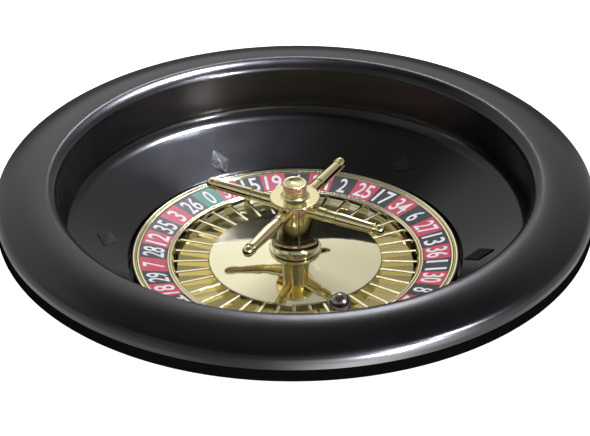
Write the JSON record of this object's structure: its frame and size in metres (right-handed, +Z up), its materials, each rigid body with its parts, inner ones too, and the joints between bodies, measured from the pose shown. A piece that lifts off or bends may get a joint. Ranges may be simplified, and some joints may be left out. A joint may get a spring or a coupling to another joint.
{
  "type": "roulette wheel",
  "caption": "Table-top roulette wheel: black rolled-rim bowl with diamond deflectors, ball-bearing gold rotor with numbered pockets, turret with arms, and a loose steel ball.",
  "frame": {"origin": "centre of the plane that the four feet stand on, on the wheel's axis", "axes": "+Z up along the wheel's axis; +Y away from the side that the picture shows; +X to the right of it"},
  "size_m": [0.3022, 0.3022, 0.0666],
  "materials": {
    "black_moulding": "glossy black moulded ABS",
    "black_band": "satin black edge band",
    "black_stippled": "black moulded diamond with a stippled face",
    "black_inner": "black inner moulding",
    "rubber": "black rubber",
    "number_paint": "printed ring of red, black and green fields with white numbers",
    "gold_plated": "mirror-bright gold plating on plastic",
    "gold_turned": "polished gold-plated turned metal",
    "cage_brass": "plain brass",
    "ball_steel": "polished steel",
    "steel": "plain steel"
  },
  "bodies": {
    "bowl": {"bowl_shell": "black_moulding", "rim_band": "black_band", "deflector_1": "black_stippled", "deflector_2": "black_stippled", "deflector_3": "black_stippled", "deflector_4": "black_stippled", "deflector_5": "black_stippled", "deflector_6": "black_stippled", "base_plate": "black_moulding", "foot_1": "rubber", "foot_2": "rubber", "foot_3": "rubber", "foot_4": "rubber", "base_screw_1": "steel", "base_screw_2": "steel", "base_screw_3": "steel", "base_screw_4": "steel", "spindle": "steel", "spindle_washer": "steel", "spindle_nut": "steel", "lower_inner_race": "steel", "upper_inner_race": "steel", "race_sleeve": "steel", "retaining_ring": "steel"},
    "rotor": {"rotor_hub": "black_inner", "rotor_plate": "black_inner", "number_deck": "black_inner", "number_ring": "number_paint", "rotor_rim": "gold_plated", "pocket_floor": "gold_plated", "pocket_wall": "gold_plated", "pocket_frets": "gold_plated", "mirror_cone": "gold_plated", "lower_outer_race": "steel", "upper_outer_race": "steel", "turret_base": "gold_turned", "turret_column": "gold_turned", "arm_hub": "gold_turned", "arm_1": "gold_turned", "arm_2": "gold_turned", "arm_3": "gold_turned", "arm_4": "gold_turned", "turret_bell": "gold_turned", "turret_knob": "gold_turned", "tie_screw": "steel", "rotor_screw_1": "steel", "rotor_screw_2": "steel", "rotor_screw_3": "steel"},
    "lower_bearing_cage": {"lower_cage": "cage_brass", "lower_beads": "steel"},
    "upper_bearing_cage": {"upper_cage": "cage_brass", "upper_beads": "steel"},
    "ball": {"roulette_ball": "ball_steel"}
  },
  "joints": [
    {"name": "rotor_spin", "type": "hinge", "parent": "bowl", "child": "rotor", "pos_m": [0, 0, 0.022], "axis": [0, 0, 1], "continuous": true},
    {"name": "lower_cage_spin", "type": "hinge", "parent": "bowl", "child": "lower_bearing_cage", "pos_m": [0, 0, 0.016], "axis": [0, 0, 1], "continuous": true},
    {"name": "upper_cage_spin", "type": "hinge", "parent": "bowl", "child": "upper_bearing_cage", "pos_m": [0, 0, 0.0365], "axis": [0, 0, 1], "continuous": true},
    {"name": "ball_lift", "type": "slide", "parent": "rotor", "child": "ball", "axis": [0, 0, 1], "range_m": [0, 0.07]}
  ],
  "couplings": [
    {"joint": "lower_cage_spin", "follows": "rotor_spin", "ratio": 0.6143},
    {"joint": "upper_cage_spin", "follows": "rotor_spin", "ratio": 0.6143}
  ]
}
